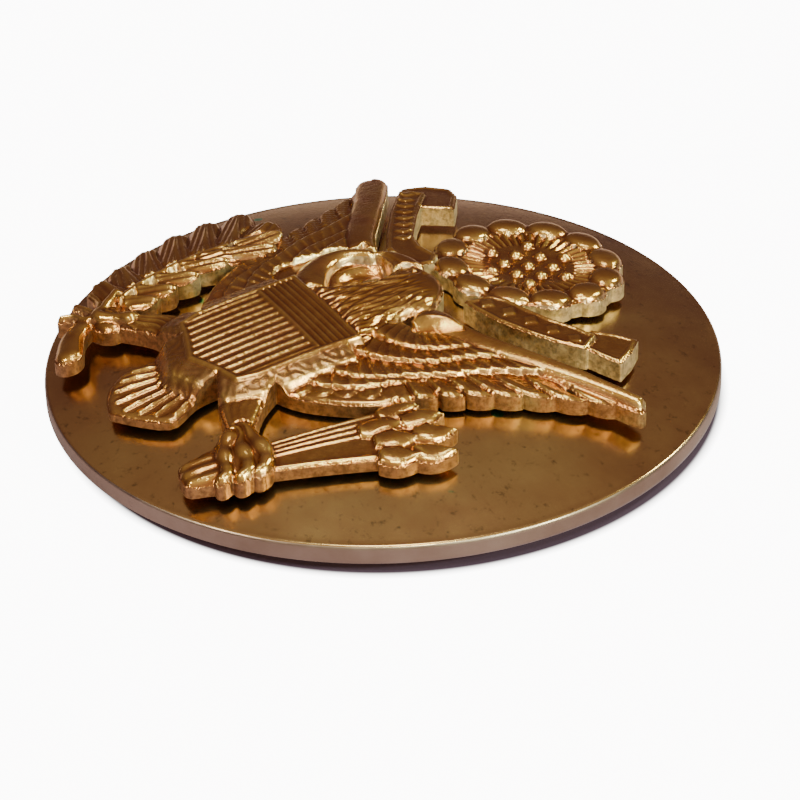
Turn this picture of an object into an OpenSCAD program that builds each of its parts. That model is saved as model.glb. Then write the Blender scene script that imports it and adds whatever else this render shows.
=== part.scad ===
/* [Backing disc] */
// Outside diameter of the disc
disc_d = 44.5; // [42:0.5:46]
// Height of the upright rim wall
rim_h = 1.2; // [1.0:0.1:2.0]
// Radius of the sphere that the disc's face is part of
dome_r = 79; // [74:1:90]
// Thickness of the disc's sheet
sheet_t = 0.8; // [0.6:0.1:1.0]

/* [Eagle emblem] */
// Radius of the sphere that the emblem's back is part of
back_r = 100; // [95:1:110]
// Gap between the disc and the emblem's back on the axis
seat_gap = 0.08; // [0.05:0.01:0.15]
// Thickness of the shield, the highest part of the relief
shield_t = 2.4; // [2.0:0.1:2.8]
// Thickness of the neck and head
neck_t = 2.3; // [1.9:0.1:2.6]
// Thickness of the wings
wing_t = 1.45; // [1.2:0.05:1.8]
// Thickness of the ribbons and of the wreath of cloud
ribbon_t = 1.7; // [1.4:0.1:2.0]
// Thickness of the tail
tail_t = 0.9; // [0.7:0.1:1.2]
// Thickness of the arrows
arrow_t = 1.15; // [0.9:0.05:1.4]
// Puffs of cloud round the glory
puffs = 12; // [10:1:14]

/* [Screw and nut] */
// Outside diameter of the screw post
post_d = 3.5; // [3.0:0.1:4.0]
// Thread pitch, one turn's travel
pitch = 0.79375; // [0.5:0.05:1.0]
// How far the post reaches below the rim
post_reach = 0.8; // [0.4:0.1:1.5]
// Diameter of the knurled thumb nut
nut_d = 14; // [12:0.5:15]
// Thickness of the nut's knurled flange
nut_t = 1.8; // [1.4:0.1:2.0]
// Grooves round the nut
knurls = 36; // [24:1:48]
// Diameter of the pressure washer
washer_d = 12; // [10:0.5:13]

/* [Locating pins] */
// Diameter of a locating pin below its shoulder
pin_d = 1.2; // [1.0:0.1:1.3]
// Distance from the disc's axis to a pin's axis, along X
pin_x = 9; // [8.5:0.1:9.5]

/* [Hidden] */
$fn = 96;
eps = 0.01;

disc_r = disc_d / 2;
rim_z = post_reach;                                  // back plane of the rim
rim_top = rim_z + rim_h;                             // where the dome meets the rim wall
dome_h = dome_r - sqrt(dome_r * dome_r - disc_r * disc_r);
apex_z = rim_top + dome_h;                           // top of the disc on its axis
dome_z = apex_z - dome_r;                            // centre of the dome's sphere
back_z = apex_z + seat_gap - back_r;                 // centre of the emblem's back sphere

hole_gap = 0.1;                                      // hole radius less shank radius
socket = 0.4;                                        // depth of a shank's socket in the emblem
post_r = post_d / 2;
pin_r = pin_d / 2;
pin_y = -2;
pin_end = 0.5;                                       // lower end of the locating pins
pin_shoulder = 3;                                    // height at which a pin steps out to its root
pin_root_r = 0.85;                                   // the root goes through the disc into the emblem
pin_dist = sqrt(pin_x * pin_x + pin_y * pin_y);
pin_top = back_z + sqrt(back_r * back_r - pin_dist * pin_dist) + socket;
post_top = apex_z + seat_gap + socket;

solder_r = 3;                                        // foot radius of the post's solder
solder_h = 0.7;
solder_gap = 0.07;                                   // keeps the flat foot clear of the curved sheet
pin_solder_r = 1.5;
pin_solder_h = 0.5;

nut_z = 0.35;                                        // lower face of the nut at rest
nut_boss_r = 3;
nut_boss_h = 0.3;
nut_gap = 0.05;                                      // bore radius less post radius
knurl_r = 0.35;
washer_t = 0.4;
washer_z = nut_z + nut_t + nut_boss_h;
washer_gap = 0.15;

ray = 11.5;                                          // glory's centre, up the emblem
glory_r = 5.6;                                       // circle that the puffs' centres lie on
puff_r = 1.35;

// Right wing: leading edge out to the tip, then down the stepped feather ends to the body
wing_line = [
    [3.4, -1.0], [4.1, 1.3], [5.0, 2.5], [6.6, 2.9], [8.6, 4.0], [11.6, 5.9], [14.6, 7.7],
    [16.7, 9.2], [17.5, 9.3], [17.8, 8.7], [17.3, 8.0], [15.3, 6.5], [14.5, 5.7], [14.6, 4.9],
    [13.5, 3.9], [13.4, 3.1], [12.6, 2.4], [12.5, 1.6], [11.9, 1.0], [11.8, 0.2], [11.3, -0.4],
    [11.2, -1.3], [10.7, -2.2], [10.5, -3.4], [9.9, -5.4], [8.2, -7.6], [6.8, -9.0], [5.2, -10.1],
    [3.9, -10.6]
];

// Right ribbon, from the glory to its folded end
ribbon_right_line = [
    [3.0, 4.1], [4.9, 4.8], [8.0, 6.8], [10.2, 8.6], [11.8, 8.8], [13.0, 10.4], [12.0, 12.2],
    [11.0, 11.9], [10.3, 10.7], [9.5, 9.8], [8.0, 8.6], [6.2, 7.9], [4.4, 7.1], [3.1, 5.6]
];

// Left ribbon's lower run, from the beak out to its end
ribbon_left_line = [
    [-1.6, 3.4], [-2.6, 2.8], [-4.4, 3.2], [-8.0, 5.0], [-11.4, 7.2], [-14.0, 9.0], [-14.6, 9.9],
    [-14.3, 10.8], [-13.2, 11.2], [-9.8, 9.2], [-6.8, 7.6], [-4.0, 6.6], [-1.6, 5.8]
];

// Left ribbon's return run, behind the glory
ribbon_back_line = [
    [-13.4, 10.6], [-14.2, 11.4], [-13.8, 12.5], [-12.4, 12.6], [-5.6, 9.4], [-6.4, 7.4]
];

// Neck and head, with the beak to the left
neck_line = [
    [-2.9, -4.2], [-2.1, -1.4], [-1.6, 0.8], [-1.9, 2.1], [-2.6, 2.4], [-3.2, 2.1], [-3.3, 2.9],
    [-2.3, 3.6], [-1.2, 4.2], [0.3, 4.3], [1.7, 3.6], [2.5, 2.3], [2.9, 0.8], [3.5, -1.0],
    [4.2, -2.8], [4.3, -4.2]
];

// Left shoulder and the web that joins it to the neck and the ribbon
shoulder_line = [
    [-7.0, -4.2], [-7.3, 0.2], [-6.0, 2.2], [-4.6, 3.6], [-1.8, 3.4], [-1.0, -4.2]
];

// Shield, square at the top and pointed below
shield_line = [
    [-4.75, -3.8], [-4.65, -6.8], [-4.6, -11.4], [-4.1, -12.9], [-2.4, -13.3], [0, -14.2],
    [2.4, -13.3], [4.1, -12.9], [4.6, -11.4], [4.65, -6.8], [4.75, -3.8]
];

// Fanned tail
tail_line = [
    [-2.6, -12.6], [-3.7, -16.7], [-3.0, -18.1], [-1.7, -19.2], [-0.1, -19.6], [3.5, -16.9],
    [2.3, -13.8], [2.0, -12.6]
];

// Right leg and claw
leg_right_line = [
    [3.4, -11.6], [5.1, -10.0], [5.7, -11.8], [7.2, -13.3], [9.4, -13.1], [11.6, -14.1],
    [11.5, -15.6], [9.6, -16.1], [7.4, -15.6], [5.0, -14.9], [2.9, -14.7], [1.4, -13.4]
];

// Left leg and claw
leg_left_line = [
    [-3.4, -11.6], [-8.5, -11.1], [-10.2, -12.6], [-12.6, -13.1], [-13.3, -14.4], [-11.6, -15.9],
    [-9.2, -16.0], [-7.3, -15.2], [-5.0, -15.0], [-2.4, -14.2], [-1.4, -13.4]
];

// Bundle of arrows: heads at the top, shafts, and flights below the claw
arrow_line = [
    [9.5, -4.6], [10.0, -3.4], [11.3, -2.7], [13.4, -3.0], [15.9, -3.8], [15.8, -5.2],
    [15.0, -5.8], [15.1, -7.2], [14.6, -7.9], [11.5, -14.2], [11.7, -15.6], [11.0, -17.1],
    [10.1, -17.7], [9.8, -19.0], [7.9, -18.8], [7.7, -16.6], [8.9, -13.8], [10.3, -6.6]
];

// Olive branch, with its leaf tips outward and its stem's end below the claw
branch_line = [
    [-9.9, -2.6], [-11.4, -1.5], [-13.4, -1.0], [-17.0, -1.5], [-16.4, -2.9], [-17.5, -4.1],
    [-16.7, -5.3], [-17.2, -6.6], [-16.1, -8.0], [-16.3, -9.5], [-15.1, -10.8], [-14.8, -13.2],
    [-13.2, -14.8], [-11.4, -17.2], [-8.5, -19.2], [-6.8, -19.4], [-7.5, -17.6], [-7.9, -15.6],
    [-9.9, -14.0], [-9.6, -11.6], [-10.9, -9.6], [-11.7, -7.6], [-10.9, -6.0]
];

// A flat outline laid on the emblem's curved back and raised to one thickness
module raised(t) {
    intersection() {
        difference() {
            translate([0, 0, back_z]) sphere(r = back_r + t, $fn = 200);
            translate([0, 0, back_z]) sphere(r = back_r, $fn = 200);
        }
        linear_extrude(height = 2 * apex_z) children();
    }
}

module glory_outline() {
    translate([0, ray]) circle(r = glory_r);
    for (i = [0 : puffs - 1])
        translate([0, ray])
            rotate(360 * (i + 0.5) / puffs)
                translate([glory_r, 0]) circle(r = puff_r);
}

// Domed sheet disc with its edge turned down into a rim, open behind, pierced for the shanks
module backing_disc() {
    color("#7a5a32")
        difference() {
            intersection() {
                translate([0, 0, dome_z]) sphere(r = dome_r, $fn = 200);
                translate([0, 0, rim_z]) cylinder(r = disc_r, h = apex_z, $fn = 200);
            }
            intersection() {
                translate([0, 0, dome_z]) sphere(r = dome_r - sheet_t, $fn = 200);
                cylinder(r = disc_r - sheet_t, h = apex_z, $fn = 200);
            }
            cylinder(r = post_r + hole_gap, h = 2 * apex_z);
            for (side = [-1, 1])
                translate([side * pin_x, pin_y, 0]) cylinder(r = pin_root_r + hole_gap, h = 2 * apex_z);
        }
}

// The struck and pierced eagle, one piece, with sockets in its back for the three shanks
module eagle_emblem() {
    color("#a8743c")
        difference() {
            union() {
                raised(ribbon_t) glory_outline();
                raised(ribbon_t) polygon(ribbon_right_line);
                raised(ribbon_t) polygon(ribbon_left_line);
                raised(ribbon_t - 0.1) polygon(ribbon_back_line);
                raised(wing_t) polygon(wing_line);
                raised(wing_t) mirror([1, 0]) polygon(wing_line);
                raised(ribbon_t - 0.2) polygon(shoulder_line);
                raised(neck_t) polygon(neck_line);
                raised(tail_t) polygon(tail_line);
                raised(wing_t + 0.05) polygon(leg_right_line);
                raised(wing_t + 0.05) polygon(leg_left_line);
                raised(arrow_t) polygon(arrow_line);
                raised(wing_t + 0.1) polygon(branch_line);
                raised(shield_t) polygon(shield_line);
            }
            translate([-3.1, 1.3, 0]) cylinder(r = 0.45, h = 2 * apex_z);
            cylinder(r = post_r, h = post_top);
            for (side = [-1, 1])
                translate([side * pin_x, pin_y, 0]) cylinder(r = pin_root_r, h = pin_top);
        }
}

// Threaded post that hangs from the emblem through the disc
module screw_post() {
    color("#b08a4a")
        cylinder(r = post_r, h = post_top);
}

// Solder cone round an upright shank, flat against the disc's hollow side at [x, y]
module solder_ring(x, y, shank_r, foot_r, h) {
    reach = norm([x, y]);
    seat = dome_z + sqrt(pow(dome_r - sheet_t, 2) - reach * reach);
    color("#9a9a94")
        difference() {
            translate([x, y, seat])
                rotate([0, asin(reach / (dome_r - sheet_t)), atan2(y, x)])
                    translate([0, 0, -h - solder_gap])
                        cylinder(r1 = shank_r + 0.15, r2 = foot_r, h = h);
            translate([x, y, 0]) cylinder(r = shank_r, h = 2 * apex_z);
        }
}

module post_solder() {
    solder_ring(0, 0, post_r, solder_r, solder_h);
}

// Shouldered pin: a thin end for the cap's hole, a thicker root through the disc
module locating_pin(side) {
    color("#b08a4a")
        translate([side * pin_x, pin_y, 0]) {
            translate([0, 0, pin_end]) cylinder(r = pin_r, h = pin_shoulder - pin_end);
            translate([0, 0, pin_shoulder]) cylinder(r = pin_root_r, h = pin_top - pin_shoulder);
        }
}

module pin_solder(side) {
    solder_ring(side * pin_x, pin_y, pin_root_r, pin_solder_r, pin_solder_h);
}

// Plain washer that keeps the turning nut off the cap's cloth
module pressure_washer() {
    color("#b49354")
        translate([0, 0, washer_z])
            difference() {
                cylinder(d = washer_d, h = washer_t);
                translate([0, 0, -eps]) cylinder(r = post_r + washer_gap, h = washer_t + 2 * eps);
            }
}

// Round nut with a grooved edge and a raised boss that bears on the washer
module thumb_nut() {
    color("#b49354")
        translate([0, 0, nut_z])
            difference() {
                union() {
                    cylinder(d = nut_d, h = nut_t);
                    cylinder(r = nut_boss_r, h = nut_t + nut_boss_h);
                }
                translate([0, 0, -eps])
                    cylinder(r = post_r + nut_gap, h = nut_t + nut_boss_h + 2 * eps);
                for (i = [0 : knurls - 1])
                    rotate(360 * i / knurls)
                        translate([nut_d / 2 + knurl_r / 3, 0, -eps])
                            cylinder(r = knurl_r, h = nut_t + 2 * eps, $fn = 4);
            }
}

backing_disc();
eagle_emblem();
screw_post();
post_solder();
locating_pin(-1);  // locating_pin_left
locating_pin(1);  // locating_pin_right
pin_solder(-1);  // pin_solder_left
pin_solder(1);  // pin_solder_right
pressure_washer();
thumb_nut();
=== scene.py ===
"""Looks of a round cap badge: a struck relief eagle on a domed disc, with its screw, nut and pins."""

import math

import bmesh
import bpy
import numpy as np
from mathutils import Matrix, Vector
from mathutils.geometry import delaunay_2d_cdt


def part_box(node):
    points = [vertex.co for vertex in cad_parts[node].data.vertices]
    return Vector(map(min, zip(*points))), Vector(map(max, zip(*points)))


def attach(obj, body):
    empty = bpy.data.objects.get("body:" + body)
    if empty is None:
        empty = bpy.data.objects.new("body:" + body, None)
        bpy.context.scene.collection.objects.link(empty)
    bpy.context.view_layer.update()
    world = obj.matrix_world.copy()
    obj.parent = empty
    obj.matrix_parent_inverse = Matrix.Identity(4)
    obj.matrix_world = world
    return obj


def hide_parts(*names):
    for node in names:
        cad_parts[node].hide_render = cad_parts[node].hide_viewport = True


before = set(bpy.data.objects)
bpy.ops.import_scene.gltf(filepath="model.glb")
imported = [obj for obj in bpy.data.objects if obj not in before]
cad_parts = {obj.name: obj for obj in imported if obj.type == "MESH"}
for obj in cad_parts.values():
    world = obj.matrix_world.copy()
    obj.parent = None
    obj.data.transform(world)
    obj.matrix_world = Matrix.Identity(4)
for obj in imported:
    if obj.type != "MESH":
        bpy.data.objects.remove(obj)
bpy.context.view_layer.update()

MM = 0.001

# ---------------- sizes, in millimetres where nothing else is said
DOME_R = 79.0          # sphere of the disc's face
BACK_R = 100.0         # sphere of the emblem's back
SEAT_GAP = 0.08        # emblem's back above the disc, on the axis
SHEET_T = 0.8          # disc's sheet
CENTRE_HOLE_R = 1.85
THREAD_PITCH = 0.79375
THREAD_DEPTH = 0.42
THREAD_END_Z = 3.3     # top of the thread on the post
BORE_GAP = 0.05        # nut's bore radius less the post's
KNURLS = 36
KNURL_DEPTH = 0.34
NUT_BOSS_R = 3.0
NUT_BOSS_H = 0.3
NUT_DISH = 0.18        # hollow turned in the nut's lower face
WASHER_BORE_R = 1.9
PIN_R = 0.6
PIN_ROOT_R = 0.85
PIN_SHOULDER_Z = 3.0
PIN_CENTRES = {"left": (-9, -2), "right": (9, -2)}
GRID = 0.078           # step of the emblem's relief
BACK_STEP = 12         # step of the points on the emblem's back, counted in the relief's steps
LEAST_T = 0.35         # least thickness of the emblem
EDGE_ROUND = 0.34      # between the disc's face and its rim
SMOOTH_ANGLE = 0.6     # radians; a sharper edge shows as a corner
SOLDER_ROWS = 14
POST_SOLDER = (3.0, 0.7)  # radius at the foot, and height
PIN_SOLDER = (1.5, 0.5)
DRILL_Z = 4
DRILL_LENGTH = 6
SHADE_CENTRE = (0.0005, 0.0002)  # metres; middle of the badge's painted shadow on the floor


def cad_corners(node):
    """Low and high corners of a CAD node's box."""
    return [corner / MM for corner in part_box(node)]


disc_low, disc_high = cad_corners("backing_disc")
DISC_R = disc_high.x
RIM_Z = disc_low.z
DOME_Z = disc_high.z - DOME_R
BACK_Z = disc_high.z + SEAT_GAP - BACK_R
INNER_R = DOME_R - SHEET_T
RIM_TOP = DOME_Z + math.sqrt(DOME_R**2 - DISC_R**2)


# ---------------- relief: distances and profiles
def ramp(d, width):
    """0 at d <= 0, 1 at d >= width, smooth between."""
    t = np.clip(d / width, 0, 1)
    return t * t * (3 - 2 * t)


def bell(d, width):
    """1 at d = 0, falling away on both sides."""
    return np.exp(-((d / width) ** 2))


def round_top(rho):
    """Height of a dome of unit height, at rho from its centre to its edge at 1."""
    return np.sqrt(np.clip(1 - rho * rho, 0, 1))


def swell(d, reach):
    """Rises from 0 on an outline to 1 at reach inside it, round like a cushion's edge."""
    return round_top(1 - np.clip(-d / reach, 0, 1))


def curve_through(points, closed=True, steps=5):
    """A smooth line through given points (Catmull-Rom)."""
    p = np.array(points, float)
    if closed:
        p = np.concatenate([p[-1:], p, p[:2]])
    else:
        p = np.concatenate([2 * p[:1] - p[1:2], p, 2 * p[-1:] - p[-2:-1]])
    out = []
    for a, b, c, d in zip(p, p[1:], p[2:], p[3:]):
        for k in range(steps):
            t = k / steps
            out.append(0.5 * (2 * b + (c - a) * t + (2 * a - 5 * b + 4 * c - d) * t**2
                              + (3 * b - 3 * c + d - a) * t**3))
    return np.array(out if closed else out + [p[-2]])


def from_segment(x, y, a, b):
    """Distance from the segment, share of the way along it, and signed distance to its left."""
    ax, ay = a
    dx, dy = b[0] - ax, b[1] - ay
    length = math.hypot(dx, dy)
    ux, uy = dx / length, dy / length
    along = np.clip(((x - ax) * ux + (y - ay) * uy) / length, 0, 1)
    px, py = x - ax - along * dx, y - ay - along * dy
    return np.hypot(px, py), along, ux * (y - ay) - uy * (x - ax)


def from_curve(x, y, points):
    """Distance from a smooth open line, length along it, distance to its left and its whole length."""
    best = np.full(x.shape, np.inf)
    length = np.zeros(x.shape)
    left = np.zeros(x.shape)
    run = 0.0
    line = curve_through(points, closed=False)
    for a, b in zip(line[:-1], line[1:]):
        d, along, side = from_segment(x, y, a, b)
        piece = math.hypot(b[0] - a[0], b[1] - a[1])
        near = d < best
        best = np.where(near, d, best)
        length = np.where(near, run + along * piece, length)
        left = np.where(near, np.where(side < 0, -d, d), left)
        run += piece
    return best, length, left, run


def from_outline(x, y, points):
    """Signed distance from a closed outline, negative inside."""
    best = np.full(x.shape, np.inf)
    inside = np.zeros(x.shape, bool)
    for a, b in zip(points, np.roll(points, -1, axis=0)):
        best = np.minimum(best, from_segment(x, y, a, b)[0])
        if a[1] != b[1]:
            crosses = (a[1] > y) != (b[1] > y)
            inside ^= crosses & (x < (b[0] - a[0]) * (y - a[1]) / (b[1] - a[1]) + a[0])
    return np.where(inside, -best, best)


class Relief:
    """Height over the emblem's back on a grid. A motif that is laid on hides what lies under it."""

    def __init__(self, low, high):
        nx, ny = [int(round((b - a) / GRID)) + 1 for a, b in zip(low, high)]
        self.low = low
        self.x, self.y = np.meshgrid(low[0] + GRID * np.arange(nx), low[1] + GRID * np.arange(ny))
        self.h = np.zeros(self.x.shape)
        self.edge = np.full(self.x.shape, np.inf)
        self.dull = np.zeros(self.x.shape)

    def lay(self, d, top, soft=0.16):
        """Inside d < 0 the motif's own height shows. Its side is a short slope where metal lies under it."""
        share = np.where(self.edge < 0, ramp(-d, soft), 1.0)
        bare = (d >= 0) & (d < GRID * 2) & (self.edge >= 0)
        self.h = np.where(d < 0, self.h * (1 - share) + top * share, self.h)
        self.h = np.where(bare, top, self.h)
        self.dull = np.where(d < 0, 0.0, self.dull)
        self.edge = np.minimum(self.edge, d)

    def raise_to(self, height, where):
        """Lifts what lies lower to this height, as a dull surface with the pale colour of steep sides."""
        low = where & (height > self.h)
        self.h = np.where(low, height, self.h)
        self.dull = np.where(low, 1.0, self.dull)

    def add(self, amount):
        self.h = self.h + amount

    def pierce(self, d):
        """Cuts a hole where d < 0."""
        self.edge = np.maximum(self.edge, -d)

    def round_off(self, reach, drop):
        """Rounds the outer edge: the top falls by nearly drop over the last of its reach."""
        share = 1 - np.clip(-self.edge / reach, 0, 1)
        self.h = self.h - drop * (1 - np.sqrt(1 - share * share * 0.98))

    def oval(self, x, y, across, up):
        """Distance from an oval's centre, 1 on its edge."""
        return np.hypot((self.x - x) / across, (self.y - y) / up)

    def inside(self, points, side=1):
        """Signed distance from a motif's rounded outline, mirrored where side is -1."""
        mirrored = [(side * x, y) for x, y in points]
        return from_outline(self.x, self.y, curve_through(mirrored, steps=4))

    def within_corners(self, points):
        """Signed distance from a motif's outline with sharp corners."""
        return from_outline(self.x, self.y, np.array(points))


def from_start(x, y, start, end):
    """Length along the way from start to end, distance to its left, and its whole length."""
    ux, uy = np.array(end) - start
    length = math.hypot(ux, uy)
    ux, uy = ux / length, uy / length
    s = (x - start[0]) * ux + (y - start[1]) * uy
    v = (y - start[1]) * ux - (x - start[0]) * uy
    return s, v, length


def feather(x, y, root, tip, w_root, w_tip):
    """Distance from a feather's edge, millimetres along its quill, and share of its half width across."""
    root, tip = np.array(root, float), np.array(tip, float)
    span = tip - root
    length = math.hypot(*span)
    end = tip - span / length * w_tip
    d, along, side = from_segment(x, y, root, end)
    half = w_root + (w_tip - w_root) * along
    return d - half, along * length, side / half


def plume(x, y, root, tip, half, normal):
    """Straight feather with a wide, slightly bowed end that faces along normal."""
    s, v, _ = from_start(x, y, root, tip)
    out = (x - tip[0]) * normal[0] + (y - tip[1]) * normal[1]
    along = (y - tip[1]) * normal[0] - (x - tip[0]) * normal[1]
    end = out - 0.16 + 0.24 * along * along
    return np.maximum(np.maximum(np.abs(v) - half, end), -s), s, v / half


def vane(s, v, pitch, depth, quill):
    """Barbs that lean back from a raised quill."""
    barbs = depth * np.sin(2 * math.pi * (s - 0.55 * np.abs(v)) / pitch) * ramp(np.abs(v) - 0.12, 0.2)
    return barbs + quill * bell(v, 0.16)


# ---------------- relief: the motifs
GLORY = (-0.2, 11.35)
GLORY_R = 6.05
PUFF_RING_R = 5.3
PUFFS = 12
FLUTES = 44
STUD_ROWS = ((2, 1), (1, 4), (0, 3), (-1, 4), (-2, 1))
STUD_PITCH = (1.62, 1.4)
STUD_R = 0.46


def lay_glory(r):
    """Wreath of cloud puffs round a dished field with flutes and studs."""
    dx, dy = r.x - GLORY[0], r.y - GLORY[1]
    radius = np.hypot(dx, dy)
    field = 0.72 + 0.42 * np.clip(radius / 4.5, 0, 1) ** 2.2
    flutes = 0.12 * np.cos(FLUTES * np.arctan2(dy, dx)) * ramp(radius - 2.8, 0.5) * ramp(4.5 - radius, 0.2)
    ring = 1.2 * ramp(radius - 4.3, 0.3)
    r.lay(radius - GLORY_R, np.maximum(field + flutes, ring))
    for i in range(PUFFS):
        a = 2 * math.pi * (i + 0.5) / PUFFS
        u = dx * math.cos(a) + dy * math.sin(a) - PUFF_RING_R
        v = dy * math.cos(a) - dx * math.sin(a)
        rho = np.hypot(u / np.where(u > 0, 1.18, 1.1), v / 1.42)
        r.lay((rho - 1) * 1.15, 1.02 + 0.6 * round_top(rho) ** 0.85, soft=0.05)
    for row, count in STUD_ROWS:
        for k in range(count):
            across = dx - STUD_PITCH[0] * (k - (count - 1) / 2)
            stud = np.hypot(across, dy - STUD_PITCH[1] * row) / STUD_R
            r.add(0.4 * np.clip(1 - stud * stud, 0, 1) ** 0.8)


def lay_ribbon(r, points, top, start=None, end=None, count=0):
    """Ribbon with square corners, a low lip all round and a row of plain lozenges from start to end."""
    d = r.within_corners(points)
    height = top - 0.13 * ramp(-d - 0.26, 0.16)
    if count:
        s, v, length = from_start(r.x, r.y, start, end)
        pitch = length / count
        lozenge = np.abs((s / pitch) % 1 - 0.5) / 0.4 + np.abs(v) / 0.8
        lozenge = np.where((s > 0) & (s < length), lozenge, 1)
        height = height + 0.13 * ramp(1 - lozenge, 0.4)
    r.lay(d, height, soft=0.1)


WING = (
    (3.4, -1.0), (4.1, 1.3), (5.0, 2.5), (6.6, 3.1), (8.6, 4.2), (11.6, 6.1), (14.6, 7.9), (13.2, 3.6),
    (11.2, -1.6), (10.6, -4.4), (9.8, -6.3), (8.5, -8.1), (6.8, -9.7), (4.8, -10.6), (2.6, -10.6),
)
WING_TIPS = (
    (17.85, 9.0), (16.1, 6.9), (15.1, 5.25), (14.1, 3.55), (13.2, 1.85),
    (12.4, 0.25), (11.7, -1.3), (11.05, -2.85), (10.5, -4.35),
)
# Line of tips, width of a feather, reach inward, height, rise towards the tips and lean in degrees
WING_ROWS = (
    (((8.9, -4.4), (8.1, -6.4), (6.5, -8.2), (4.2, -9.3)), 1.2, 2.6, 1.18, 0.2, 30),
    (((12.6, 5.5), (11.3, 2.7), (10.6, 1.0), (10.2, -0.4), (9.6, -1.7), (8.9, -3.1), (8.2, -4.6),
      (6.9, -6.2), (4.6, -7.6)), 0.95, 2.6, 1.2, 0.34, 45),
    (((10.3, 4.4), (9.5, 2.4), (9.0, 0.8), (8.6, -0.8), (7.8, -2.2), (6.5, -3.6), (4.6, -4.8)),
     0.85, 1.9, 1.42, 0.2, 45),
    (((8.6, 3.2), (8.1, 1.4), (7.5, -0.2), (6.6, -1.4), (5.4, -2.2), (4.0, -2.7)),
     0.8, 2.2, 1.52, 0.2, 45),
)
LEADING_EDGE = ((4.7, 1.2), (6.2, 2.0), (8.2, 2.95), (11.2, 4.95), (14.2, 6.95))
SECONDARIES = 6
# The near wing on the right is longer at its tip and less deeply barbed
LAST_PRIMARY = {1: (17.85, 9.0), -1: (16.9, 8.5)}
LEADING_END = {1: (17.2, 8.85), -1: (16.2, 8.2)}
LEADING_TAPER = {1: -0.036, -1: 0.01}
BARBS = {1: 0.014, -1: 0.04}


def tip_normal(i):
    """Unit vector that faces out from the wing's stepped edge at a primary's tip."""
    before, after = WING_TIPS[max(i - 1, 0)], WING_TIPS[min(i + 1, len(WING_TIPS) - 1)]
    way = np.array(after) - before
    return np.array((-way[1], way[0])) / np.linalg.norm(way)


def lay_row(r, x, y, clip, points, width, reach, base, rise, steep):
    """Row of short overlapping feathers. It rises towards its line of tips and steps down past it."""
    _, s, v, total = from_curve(x, y, points)
    lean = np.tan(np.radians(steep - 33 * s / total))
    cell = ((s + lean * v) / width) % 1
    tip = 0.3 * cell * (1 - cell)
    shelf = rise * np.clip(1 + v / reach, 0, 1) ** 1.3
    lap = 0.11 * cell**1.3 * ramp(0.1 - v, 0.5)
    r.lay(np.maximum(np.maximum(v - tip, -reach - v), clip), base + shelf + lap, soft=0.07)


def lay_wing(r, side):
    """One wing: blunt primaries, smooth lower edge, stepped rows of coverts and a rounded leading band."""
    x, y = side * r.x, r.y
    whole = r.inside(WING, side)
    r.lay(whole, 1.06 + 0 * x)
    for i in reversed(range(len(WING_TIPS))):
        t = i / (len(WING_TIPS) - 1)
        root = (8.6 - 2.6 * t, 3.1 - 6.4 * t)
        if i:
            d, s, v = plume(x, y, root, WING_TIPS[i], 0.66, tip_normal(i))
        else:
            d, s, v = feather(x, y, root, LAST_PRIMARY[side], 0.75, 0.5)
        slope = 0.2 * np.clip(0.5 - 0.5 * v, 0, 1) ** 1.2
        r.lay(d, 1.1 + 0.06 * t + slope + vane(s, v, 0.4, BARBS[side], 0.03), soft=0.05)
    for i in range(SECONDARIES):
        root = (3.2, -3.4 - 1.05 * i)
        tip = (10.4 - 0.95 * i, -4.6 - 1.25 * i)
        d, s, v = feather(x, y, root, tip, 0.85, 0.9)
        slope = 0.16 * np.clip(0.5 + 0.5 * v, 0, 1)
        r.lay(np.maximum(d, whole), 1.08 + slope + vane(s, v, 0.45, BARBS[side], 0.04), soft=0.08)
    for row in WING_ROWS:
        lay_row(r, x, y, whole, *row)
    lay_leading_band(r, x, y, side)
    lay_wing_shoulder(r, x, y)


def lay_leading_band(r, x, y, side):
    """Rounded band along the wing's leading edge, with its crest off centre."""
    d, s, v, _ = from_curve(x, y, (*LEADING_EDGE, LEADING_END[side]))
    half = 1.0 + LEADING_TAPER[side] * s
    crest = 0.4 * half
    rho = np.clip(np.where(v > crest, (v - crest) / (half - crest), (crest - v) / (half + crest)), 0, 1)
    r.lay(d - half, 1.34 + 0.42 * round_top(rho) ** 1.2, soft=0.1)


def lay_wing_shoulder(r, x, y):
    """Dome at the wing's bend, cut by one curved facet that slopes down and out."""
    dx, dy = x - 5.5, y - 1.15
    rho = np.hypot(dx / 2.3, dy / 1.6)
    fall = 0.88 * dx - 0.48 * dy
    across = 0.48 * dx + 0.88 * dy
    facet = 2.14 - 0.7 * (fall + 0.55) - 0.3 * np.clip(fall + 0.55, 0, 2) ** 2 - 0.1 * (across - 0.5) ** 2
    bulge = np.minimum(1.32 + 0.85 * round_top(rho), facet)
    r.lay(np.maximum((rho - 1) * 1.6, fall - 0.55), bulge, soft=0.2)


def lay_rod(r, points, half, taper, top, rise, soft):
    """Round bar along a bent line, whose half width grows by taper each millimetre."""
    d, s, _, _ = from_curve(r.x, r.y, points)
    half = half + taper * s
    r.lay(d - half, top + rise * round_top(d / half), soft)


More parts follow.
